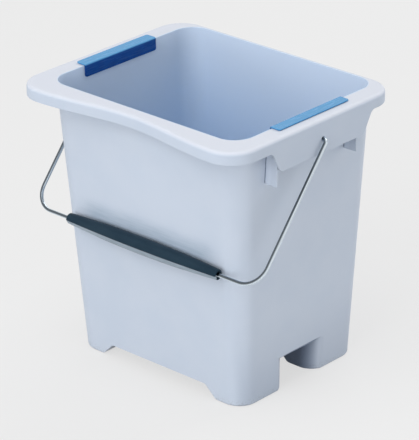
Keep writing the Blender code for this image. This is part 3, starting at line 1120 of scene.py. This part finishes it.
class Spot:
    """A place on a surface, in the object's own frame."""

    def __init__(self, recipe: Recipe) -> None:
        """Adds the nodes that read the place.

        Args:
            recipe: The tree that is filled.
        """
        self.recipe = recipe
        self.place = recipe.node("ShaderNodeTexCoord").outputs["Object"]
        parts = recipe.node("ShaderNodeSeparateXYZ", None, {0: self.place})
        self.x, self.y, self.z = (Signal(recipe, output) for output in parts.outputs)

    def noise(self, waves: float, detail: Detail = Detail.SOFT) -> Signal:
        """Soft noise from 0 to 1, with so many waves in a metre."""
        return self.recipe.noise(self.place, waves, detail)

    def streaks(self, waves: Point, detail: Detail = Detail.SOFT, turn: Point = (0, 0, 0)) -> Signal:
        """Soft noise from 0 to 1 that is drawn out into streaks.

        Args:
            waves: How many waves it has in a metre along each axis.
            detail: How much finer noise lies on it.
            turn: How the place is turned first.

        Returns:
            The noise.
        """
        turned = self.recipe.node("ShaderNodeMapping", None, {"Vector": self.place, "Rotation": turn})
        feeds = {"Vector": turned.outputs[0], "Scale": waves}
        drawn_out = self.recipe.node("ShaderNodeMapping", None, feeds).outputs[0]
        return self.recipe.noise(drawn_out, 1.0, detail)


def new_material(name: str) -> bpy.types.Material:
    """Makes a material that has nodes.

    Args:
        name: Its name.

    Returns:
        The material.
    """
    material = bpy.data.materials.new(name)
    material.use_nodes = True
    return material


@dataclass(frozen=True)
class Finish:
    """A surface finish, which fills one material.

    In a finish, waves are a noise's waves in a metre, a span is where a mark starts and where it is full, a
    share is how much of it shows, and a gloss is how much it changes the roughness.
    """

    name: str
    slot: str
    colour: Point
    roughness: float

    def dress(self, obj: bpy.types.Object) -> None:
        """Gives the finish to a piece.

        Args:
            obj: The piece.
        """
        material = bpy.data.materials.get(self.name) or self.make()
        obj.data.materials.clear()
        obj.data.materials.append(material)

    def make(self) -> bpy.types.Material:
        """Makes the finish's material.

        Returns:
            The material.
        """
        material = new_material(self.name)
        recipe = Recipe(material.node_tree)
        self.mix(recipe, Spot(recipe))
        return material

    def mix(self, recipe: Recipe, spot: Spot) -> None:
        """Fills the material's nodes.

        Args:
            recipe: The tree that is filled.
            spot: The place on the surface.
        """
        raise NotImplementedError


@dataclass(frozen=True)
class Plastic(Finish):
    """A moulded plastic."""

    specular: float = 0.15
    refraction: float = 1.5

    def mould(
        self, recipe: Recipe, colour: bpy.types.NodeSocket, rough: Signal, relief: bpy.types.NodeSocket
    ) -> None:
        """Ends the tree in the plastic's surface.

        Args:
            recipe: The tree that is filled.
            colour: The colour.
            rough: The roughness.
            relief: The normal.
        """
        recipe.surface(
            Base_Color=colour,
            Roughness=rough,
            Normal=relief,
            IOR=self.refraction,
            Specular_IOR_Level=self.specular,
        )


@dataclass(frozen=True)
class TubPlastic(Plastic):
    """Satin polypropylene, spark-grained, with painted shade inside that deepens towards the floor, a
    painted sheen on the rim's top, and marks.

    The marks are scuffs from use, and painted shade: a shadow of the grip on the front wall, and shade on
    the skirt, in the creases by the ribs, in the recesses and low on the short sides.
    """

    name: str = "pale_tub_plastic"
    slot: str = "bucket_plastic"
    colour: Point = (0.585, 0.652, 0.758)
    roughness: float = 0.48
    specular: float = 0.3
    refraction: float = 1.49
    shade: Point = (0.565, 0.637, 0.748)
    # Painted shade inside the tub, bluer and deeper towards the floor.
    inside: Point = (0.56, 0.655, 0.785)
    deep_inside_shade: Point = (0.53, 0.667, 0.85)
    scuff: Point = (0.44, 0.48, 0.54)
    # The dark tone of the painted shade.
    dust: Point = (0.072, 0.112, 0.20)
    # The painted sheen on the rim's top.
    bleached: Point = (0.614, 0.645, 0.717)
    # The painted shadow of the grip on the front wall.
    smear: Point = (0.27, 0.37, 0.48)
    cloud_waves: float = 22.0
    cloud_span: Span = (0.3, 0.7)
    cloud_gloss: float = 0.10
    grain_waves: float = 1500.0
    grain_depth: float = 0.00002
    swell_waves: float = 11.0
    swell_depth: float = 0.0002
    deep_inside_shade_z: float = 0.2
    bleached_drop: float = 0.0005
    # Shares of the wall's thickness, from its outer face and from a recess's faces.
    wall_span: Span = (0.35, 0.65)
    recess_span: Span = (-0.6, -0.3)
    front_y: Span = (-0.080, -0.088)
    scuff_gloss: float = 0.25
    speck_waves: float = 420.0
    speck_span: Span = (0.48, 0.62)
    speck_z: Span = (0.012, 0.0)
    speck_share: float = 0.7
    knock_waves: Point = (30.0, 260.0, 260.0)
    knock_span: Span = (0.50, 0.68)
    knock_z: Span = (0.012, 0.003)
    knock_x: Span = (0.112, 0.09)
    knock_share: float = 0.16
    smear_waves: Point = (40.0, 420.0, 420.0)
    smear_span: Span = (0.35, 0.65)
    smear_streaks: float = 0.28
    smear_edge_waves: Point = (26.0, 60.0, 60.0)
    smear_edge: float = 0.010
    # Heights above the middle of the bail's bar.
    smear_low: Span = (-0.006, 0.007)
    smear_high: Span = (0.036, 0.011)
    smear_x: Span = (0.114, 0.078)
    smear_share: float = 0.6
    dust_by_rib: float = 0.0013
    dust_by_wall: Span = (0.0012, 0.0003)
    dust_ends: Span = (0.002, 0.001)
    dust_share: float = 0.8
    # Counted outwards from a recess's flank.
    recess_shade_y: Span = (0.018, -0.002)
    recess_shade_share: float = 0.79
    low_side_shade_z: Span = (0.115, -0.02)
    # Counted outwards from the base's end.
    low_side_shade_x: Span = (-0.014, -0.002)
    low_side_shade_share: float = 0.22
    # Counted inwards from the tub's outer wall.
    skirt_shade_depth: Span = (-0.006, -0.010)
    skirt_shade_share: float = 0.075
    tub: TubMoulding = TubMoulding()
    bail: WireBail = WireBail()

    def depth_in_wall(self, spot: Spot) -> Signal:
        """How far a place lies inside the tub's outer wall.

        Args:
            spot: The place.

        Returns:
            The distance, below 0 outside the wall.
        """
        low, high = self.tub.wall_at(0.0), self.tub.wall_at(self.tub.height)
        share = spot.z * (1 / self.tub.height)

        def level(at_floor: float, at_rim: float) -> Signal:
            """The value at the place's height."""
            return at_floor + share * (at_rim - at_floor)

        flat_x = level(low.half_length - low.radius, high.half_length - high.radius)
        flat_y = level(low.depth / 2 - low.radius, high.depth / 2 - high.radius)
        over_x = (abs(spot.x) - flat_x).most(0.0)
        over_y = (abs(spot.y - level(low.middle, high.middle)) - flat_y).most(0.0)
        return level(low.radius, high.radius) - hypotenuse(over_x, over_y)

    def height_in_floor(self, spot: Spot) -> Signal:
        """How far a place lies above the underside of the base.

        Args:
            spot: The place.

        Returns:
            The distance, 0 on the feet and in the channel.
        """
        foot_start = self.tub.wall_at(0.0).half_length - self.tub.foot_length
        underside = (foot_start - abs(spot.x)).most(0.0).least(self.tub.channel_height)
        return spot.z - underside

    def in_recess(self, spot: Spot) -> Signal:
        """1 on the faces of the tip-grip recesses, and 0 on the inside of the same wall.

        Args:
            spot: The place.

        Returns:
            The share.
        """
        tub, foot = self.tub, self.tub.wall_at(0.0)
        skin = [share * tub.wall for share in self.recess_span]
        over_x = (abs(spot.x) - (foot.half_length - tub.recess_edge)).most(0.0)
        over_y = (tub.recess_width / 2 + tub.recess_edge - abs(spot.y - foot.middle)).most(0.0)
        flank = hypotenuse(over_x, over_y) - tub.recess_edge
        end = abs(spot.x) - (foot.half_length - tub.recess_depth)
        roof = tub.recess_height - spot.z
        return flank.step(*skin) * end.step(*skin) * roof.step(*skin)

    def rubbed(self, spot: Spot) -> Signal:
        """Scuffs under the feet, and where the bail's grip knocks against the front wall.

        Args:
            spot: The place.

        Returns:
            How much of the scuffs shows.
        """
        speck = spot.noise(self.speck_waves)
        standing = spot.z.step(*self.speck_z) * speck.step(*self.speck_span)
        streaks = spot.streaks(self.knock_waves)
        band = abs(spot.z - self.bail.bar_middle.z).step(*self.knock_z) * spot.y.step(*self.front_y)
        knocked = band * streaks.step(*self.knock_span) * abs(spot.x).step(*self.knock_x)
        return standing * self.speck_share + knocked * self.knock_share

    def painted_grip_shadow(self, spot: Spot) -> Signal:
        """The painted shadow of the slate grip on the front wall, where it rests and just above.

        Args:
            spot: The place.

        Returns:
            How much of the painted shadow shows.
        """
        uneven = spot.streaks(self.smear_edge_waves, Detail.RICH)
        streaks = spot.streaks(self.smear_waves).step(*self.smear_span)
        above = spot.z - self.bail.bar_middle.z + (uneven - NOISE_MIDDLE) * self.smear_edge
        band = above.step(*self.smear_low) * above.step(*self.smear_high)
        front = spot.y.step(*self.front_y) * abs(spot.x).step(*self.smear_x)
        return band * front * (1 - self.smear_streaks + streaks * self.smear_streaks) * self.smear_share

    def rib_crease_shade(self, spot: Spot, depth: Signal) -> Signal:
        """Painted shade in the crease where a stacking rib meets the wall.

        Args:
            spot: The place.
            depth: How far the place lies inside the wall.

        Returns:
            How much of the painted shade shows.
        """
        tub, half = self.tub, self.tub.rib_thickness / 2
        from_rib = abs(abs(spot.y - tub.pivot_y) - tub.rib_spread / 2)
        by_rib = from_rib.step(half + self.dust_by_rib, half)
        by_wall = abs(depth).step(*self.dust_by_wall)
        low_z, high_z = tub.height - tub.rib_drop, tub.height - tub.rim_thickness
        low_end, high_end = self.dust_ends
        below_rim = spot.z.step(low_z, low_z + low_end) * spot.z.step(high_z, high_z - high_end)
        return by_rib * by_wall * below_rim * self.dust_share

    def recess_shade(self, spot: Spot) -> Signal:
        """How much shows of the painted shade in a recess, less towards its mouth."""
        far, near = (self.tub.recess_width / 2 + reach for reach in self.recess_shade_y)
        return abs(spot.y - self.tub.wall_at(0.0).middle).step(far, near) * self.recess_shade_share

    def low_side_shade(self, spot: Spot) -> Signal:
        """How much shows of the painted shade low on the short sides, darker towards the floor."""
        start, full = (self.tub.wall_at(0.0).half_length + reach for reach in self.low_side_shade_x)
        return spot.z.step(*self.low_side_shade_z) * abs(spot.x).step(start, full) * self.low_side_shade_share

    def mix(self, recipe: Recipe, spot: Spot) -> None:
        """Fills the material's nodes.

        Args:
            recipe: The tree that is filled.
            spot: The place on the surface.
        """
        tub = self.tub
        cloud = spot.noise(self.cloud_waves, Detail.RICH)
        colour = recipe.blend(cloud.step(*self.cloud_span), self.colour, self.shade)
        # Painted sheen: the rim's top turns paler and less blue.
        top_sheen = spot.z.step(tub.height - tub.rim_edge, tub.height - self.bleached_drop)
        colour = recipe.blend(top_sheen, colour, self.bleached)
        recess = self.in_recess(spot)
        depth = self.depth_in_wall(spot)
        core = [share * tub.wall for share in self.wall_span]
        within = depth.step(*core) * (1 - recess) * self.height_in_floor(spot).step(*core)
        outside = 1 - within
        # Painted shade inside the tub, bluer and deeper towards the floor.
        inside = recipe.blend(spot.z.step(tub.height, self.deep_inside_shade_z), self.inside, self.deep_inside_shade)
        colour = recipe.blend(within, colour, inside)
        scuffs = self.rubbed(spot) * outside
        colour = recipe.blend(scuffs, colour, self.scuff)
        # Painted shadow of the grip on the front wall, broken into streaks.
        colour = recipe.blend(self.painted_grip_shadow(spot) * outside, colour, self.smear)
        # Painted shade on the skirt, the aprons and all else that stands well out from the wall, but not on
        # the rim's top.
        skirt_shade = depth.step(*self.skirt_shade_depth) * (1 - top_sheen) * self.skirt_shade_share
        # Painted shade in one dark tone: in the creases by the ribs, in the recesses, low on the short sides
        # and on the skirt.
        painted_shade = self.rib_crease_shade(spot, depth).most(self.recess_shade(spot) * recess)
        painted_shade = painted_shade.most(self.low_side_shade(spot) * outside).most(skirt_shade)
        colour = recipe.blend(painted_shade, colour, self.dust)
        grain = recipe.bump(spot.noise(self.grain_waves, Detail.SMOOTH), self.grain_depth)
        relief = recipe.bump(spot.noise(self.swell_waves, Detail.SMOOTH), self.swell_depth, grain)
        rough = self.roughness + (cloud - NOISE_MIDDLE) * self.cloud_gloss + scuffs * self.scuff_gloss
        self.mould(recipe, colour, rough, relief)


@dataclass(frozen=True)
class DrawnSteel(Finish):
    """Bright drawn wire, with fine darker lines along it that are partly painted reflection, and a painted
    dark reflection on its upper front.
    """

    name: str = "drawn_wire_steel"
    slot: str = "bail_steel"
    colour: Point = (0.78, 0.87, 0.94)
    roughness: float = 0.16
    # The tone of the painted dark reflection and of the darker drawn lines.
    dark: Point = (0.05, 0.064, 0.080)
    line_waves: Point = (900.0, 900.0, 14.0)
    line_span: Span = (0.45, 0.75)
    line_share: float = 0.35
    line_gloss: float = 0.12
    line_depth: float = 0.00003
    cloud_waves: float = 60.0
    cloud_gloss: float = 0.12
    dark_reflection_span: Span = (0.55, 0.95)
    dark_reflection_share: float = 0.9
    bail: WireBail = WireBail()

    def dark_reflection(self, spot: Spot) -> Signal:
        """A painted dark reflection on the side that faces up and forwards, all along the wire.

        Args:
            spot: The place.

        Returns:
            How much of the painted reflection shows.
        """
        lean, (_, pivot_y, pivot_z) = self.bail.lean, self.bail.pivot
        up_front = (spot.z - pivot_z) * math.sin(lean) - (spot.y - pivot_y) * math.cos(lean)
        return (up_front / self.bail.wire_radius).step(*self.dark_reflection_span) * self.dark_reflection_share

    def mix(self, recipe: Recipe, spot: Spot) -> None:
        """Fills the material's nodes.

        Args:
            recipe: The tree that is filled.
            spot: The place on the surface.
        """
        lines = spot.streaks(self.line_waves, turn=(self.bail.lean, 0, 0))
        cloud = spot.noise(self.cloud_waves)
        # The drawn lines roughen the wire and darken it, partly as painted dark reflection.
        lines_and_reflection = lines.step(*self.line_span)
        # The upper front side gets the painted dark reflection.
        dark = (lines_and_reflection * self.line_share).most(self.dark_reflection(spot))
        colour = recipe.blend(dark, self.colour, self.dark)
        rough = self.roughness + lines_and_reflection * self.line_gloss + (cloud - NOISE_MIDDLE) * self.cloud_gloss
        relief = recipe.bump(lines, self.line_depth)
        recipe.surface(Base_Color=colour, Roughness=rough, Metallic=1.0, Normal=relief)


@dataclass(frozen=True)
class GripPlastic(Plastic):
    """Dark satin plastic, finely grained, polished by the hand, with a painted pale reflection on its flat
    face.
    """

    name: str = "slate_grip_plastic"
    slot: str = "grip_plastic"
    colour: Point = (0.011, 0.028, 0.046)
    roughness: float = 0.34
    specular: float = 0.12
    worn: Point = (0.016, 0.036, 0.056)
    # The painted reflection on the flat face.
    pale: Point = (0.38, 0.46, 0.54)
    polish_waves: Point = (24.0, 90.0, 90.0)
    polish_span: Span = (0.35, 0.7)
    polish_gloss: float = 0.10
    grain_waves: float = 1300.0
    grain_gloss: float = 0.06
    grain_depth: float = 0.00002
    scratch_waves: Point = (60.0, 900.0, 900.0)
    scratch_span: Span = (0.35, 0.65)
    scratch_share: float = 0.25
    face_span: Span = (-0.012, 0.004)
    grip: BarrelGrip = BarrelGrip()

    def on_face(self, spot: Spot) -> Signal:
        """1 on the barrel's flat face.

        Args:
            spot: The place.

        Returns:
            The share.
        """
        middle, out = self.grip.bail.bar_middle, self.grip.face_out
        from_y, from_z = spot.y - middle.y, spot.z - middle.z
        turned = (from_y * out.y + from_z * out.z) / hypotenuse(from_y, from_z)
        start, full = (math.cos(self.grip.face_half_angle) + reach for reach in self.face_span)
        return turned.step(start, full)

    def mix(self, recipe: Recipe, spot: Spot) -> None:
        """Fills the material's nodes.

        Args:
            recipe: The tree that is filled.
            spot: The place on the surface.
        """
        grain = spot.noise(self.grain_waves, Detail.SMOOTH)
        polish = spot.streaks(self.polish_waves, Detail.RICH).step(*self.polish_span)
        colour = recipe.blend(polish, self.colour, self.worn)
        scratch = spot.streaks(self.scratch_waves).step(*self.scratch_span)
        # Painted reflection on the flat face, broken by scratches.
        rubbed = self.on_face(spot) * (1 - self.scratch_share + scratch * self.scratch_share)
        colour = recipe.blend(rubbed, colour, self.pale)
        rough = self.roughness + self.polish_gloss * (1 - polish) + (grain - NOISE_MIDDLE) * self.grain_gloss
        self.mould(recipe, colour, rough, recipe.bump(grain, self.grain_depth))


@dataclass(frozen=True)
class ClipPlastic(Plastic):
    """Smooth blue plastic, with a painted pale sheen on the strip that lies on top of the rim."""

    name: str = "blue_clip_plastic"
    slot: str = "clip_plastic"
    colour: Point = (0.004, 0.060, 0.26)
    roughness: float = 0.26
    shade: Point = (0.003, 0.050, 0.23)
    # The painted sheen on the strip on top of the rim.
    bleached: Point = (0.10, 0.325, 0.585)
    bleached_rise: Span = (-0.0004, 0.0016)
    cloud_waves: float = 70.0
    cloud_span: Span = (0.3, 0.7)
    cloud_share: float = 0.15
    cloud_gloss: float = 0.06
    scratch_waves: Point = (700.0, 40.0, 700.0)
    scratch_span: Span = (0.55, 0.75)
    scratch_gloss: float = 0.15
    scratch_depth: float = 0.00001
    tub: TubMoulding = TubMoulding()

    def mix(self, recipe: Recipe, spot: Spot) -> None:
        """Fills the material's nodes.

        Args:
            recipe: The tree that is filled.
            spot: The place on the surface.
        """
        cloud = spot.noise(self.cloud_waves)
        scratch = spot.streaks(self.scratch_waves)
        colour = recipe.blend(cloud.step(*self.cloud_span), self.colour, self.shade)
        # Painted sheen on the strip that lies on top of the rim.
        start, full = (self.tub.height + rise for rise in self.bleached_rise)
        top_sheen = spot.z.step(start, full) * (1 - self.cloud_share + cloud * self.cloud_share)
        colour = recipe.blend(top_sheen, colour, self.bleached)
        rough = self.roughness + scratch.step(*self.scratch_span) * self.scratch_gloss
        rough = rough + (cloud - NOISE_MIDDLE) * self.cloud_gloss
        self.mould(recipe, colour, rough, recipe.bump(scratch, self.scratch_depth))


@dataclass(frozen=True)
class Lamp:
    """A soft light with a flat face.

    Args:
        name: Its name.
        place: Where it stands.
        size: Its width and its height.
        power: Its power in watts.
        mirrored: Whether it shows in reflections.
        aim: The point that it faces.
    """

    name: str
    place: Point
    size: Pair
    power: float
    mirrored: bool = True
    aim: Point = (0.0, 0.0, 0.2)

    def hang(self) -> None:
        """Adds the light to the scene."""
        data = bpy.data.lights.new(self.name, "AREA")
        data.shape = "RECTANGLE"
        data.size, data.size_y = self.size
        data.energy = self.power
        lamp = bpy.data.objects.new(self.name, data)
        lamp.visible_glossy = self.mirrored
        lamp.location = self.place
        lamp.rotation_euler = (Vector(self.aim) - Vector(self.place)).to_track_quat("-Z", "Y").to_euler()
        bpy.context.scene.collection.objects.link(lamp)


@dataclass(frozen=True)
class Studio:
    """The pale floor, the soft light and the camera."""

    paper: float = 0.836
    sky: float = 0.385
    floor_albedo: float = 0.80
    floor_bounce: float = 0.35
    shadow_share: float = 0.22
    floor_size: float = 80.0
    azimuth: float = math.radians(41.756)
    elevation: float = math.radians(24.305)
    focal_pixels: float = 2871.7
    picture_height: float = 440.0
    sensor: float = 36.0
    distance: float = 3.289558
    aim: Point = (0.0, 0.0023, 0.1679)
    slide: Pair = (0.003099, 0.001761)
    lamps: tuple[Lamp, ...] = (
        Lamp("key", (-0.5, -2.3, 2.7), (1.2, 1.2), 15.8, mirrored=False),
        Lamp("key_right", (0.7, -2.5, 2.4), (1.2, 1.2), 8.5, mirrored=False),
        Lamp("front", (0.4, -3.0, 0.95), (1.8, 1.8), 41.0, mirrored=False),
        Lamp("left", (-2.6, -1.6, 0.7), (2.0, 1.0), 11.0, mirrored=False),
        Lamp("right", (3.0, 0.3, 0.34), (5.0, 0.6), 38.0, mirrored=False),
        Lamp("back", (0.3, 2.5, 2.4), (1.6, 1.6), 23.0),
        Lamp("back_left", (-1.4, 2.2, 2.6), (1.6, 1.6), 11.0),
        Lamp("top", (0.0, -0.7, 3.0), (1.6, 1.6), 24.0),
        Lamp("rear", (-0.4, 3.0, 0.6), (3.0, 0.8), 22.0, mirrored=False),
    )

    def build(self) -> None:
        """Sets up everything round the object."""
        bpy.context.scene.view_settings.view_transform = "Standard"
        self.lay_floor()
        self.light_world()
        for lamp in self.lamps:
            lamp.hang()
        self.place_camera()

    @staticmethod
    def seen_directly(recipe: Recipe) -> Signal:
        """1 where the camera, a reflection or glass shows the surface.

        Args:
            recipe: The tree that asks.

        Returns:
            The share.
        """
        rays = recipe.node("ShaderNodeLightPath").outputs
        camera, mirror, glass = (
            Signal(recipe, rays[f"Is {kind} Ray"]) for kind in ("Camera", "Glossy", "Transmission")
        )
        return camera.most(mirror).most(glass)

    def lay_floor(self) -> None:
        """Lays the floor, which keeps a faint shadow of the object."""
        bpy.ops.object.select_all(action="DESELECT")
        bpy.ops.mesh.primitive_plane_add(size=self.floor_size)
        floor = bpy.context.object
        floor.name = "studio_floor"
        material = new_material("studio_paper")
        recipe = Recipe(material.node_tree)
        seen = self.seen_directly(recipe)
        thrown_back = recipe.blend(seen, grey(self.floor_bounce), grey(self.floor_albedo))
        matt = recipe.node("ShaderNodeBsdfDiffuse", None, {"Color": thrown_back})
        paper = {"Color": opaque(grey(self.paper)), "Strength": 1.0}
        glow = recipe.node("ShaderNodeEmission", None, paper)
        mixture = {0: seen * (1 - self.shadow_share), 1: matt.outputs[0], 2: glow.outputs[0]}
        shader = recipe.node("ShaderNodeMixShader", None, mixture)
        recipe.node("ShaderNodeOutputMaterial", None, {"Surface": shader.outputs[0]})
        floor.data.materials.append(material)

    def light_world(self) -> None:
        """Makes the even light that comes from all round."""
        world = bpy.data.worlds.new("studio_world")
        world.use_nodes = True
        bpy.context.scene.world = world
        recipe = Recipe(world.node_tree)
        colour = recipe.blend(self.seen_directly(recipe), grey(self.sky), grey(self.paper))
        light = recipe.node("ShaderNodeBackground", None, {"Color": colour, "Strength": 1.0})
        recipe.node("ShaderNodeOutputWorld", None, {"Surface": light.outputs[0]})

    def place_camera(self) -> None:
        """Places the camera at the photograph's angle and framing."""
        flat, rise = math.cos(self.elevation), math.sin(self.elevation)
        towards = Vector((math.sin(self.azimuth) * flat, -math.cos(self.azimuth) * flat, rise))
        right = (-towards).cross(Vector((0, 0, 1))).normalized()
        up = right.cross(-towards)
        data = bpy.data.cameras.new("studio_camera")
        data.sensor_fit = "VERTICAL"
        data.sensor_height = self.sensor
        data.lens = self.focal_pixels / self.picture_height * self.sensor
        camera = bpy.data.objects.new("studio_camera", data)
        place = Vector(self.aim) + towards * self.distance + right * self.slide[0] + up * self.slide[1]
        camera.matrix_world = Matrix.Translation(place) @ Matrix((right, up, towards)).transposed().to_4x4()
        bpy.context.scene.collection.objects.link(camera)
        bpy.context.scene.camera = camera


@dataclass(frozen=True)
class Fitting:
    """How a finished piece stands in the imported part.

    Args:
        obj: The piece.
        body: The body that it moves with.
        node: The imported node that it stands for.
        finish: Its finish.
    """

    obj: bpy.types.Object
    body: str
    node: str
    finish: Finish

    def set_in(self) -> None:
        """Dresses the piece and sets it in the part."""
        self.finish.dress(self.obj)
        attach(self.obj, self.body)
        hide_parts(self.node)
        LOG.info("%s stands for %s: %d faces", self.obj.name, self.node, len(self.obj.data.polygons))


def main() -> None:
    """Builds the pieces in order, sets them in the part and lights the scene."""
    logging.basicConfig(level=logging.INFO, format="%(message)s")
    bail = WireBail()
    fittings = [
        Fitting(TubMoulding().build(), "bucket", "bucket_body", TubPlastic()),
        Fitting(bail.build(), "bail", "bail_wire", DrawnSteel()),
        Fitting(BarrelGrip(bail).build(), "bail", "bail_grip", GripPlastic()),
    ]
    for side in Side:
        fittings.append(Fitting(RimClip(side).build(), "bucket", f"clip_{side.label}", ClipPlastic()))
    for fitting in fittings:
        fitting.set_in()
    Studio().build()


if __name__ == "__main__":
    main()
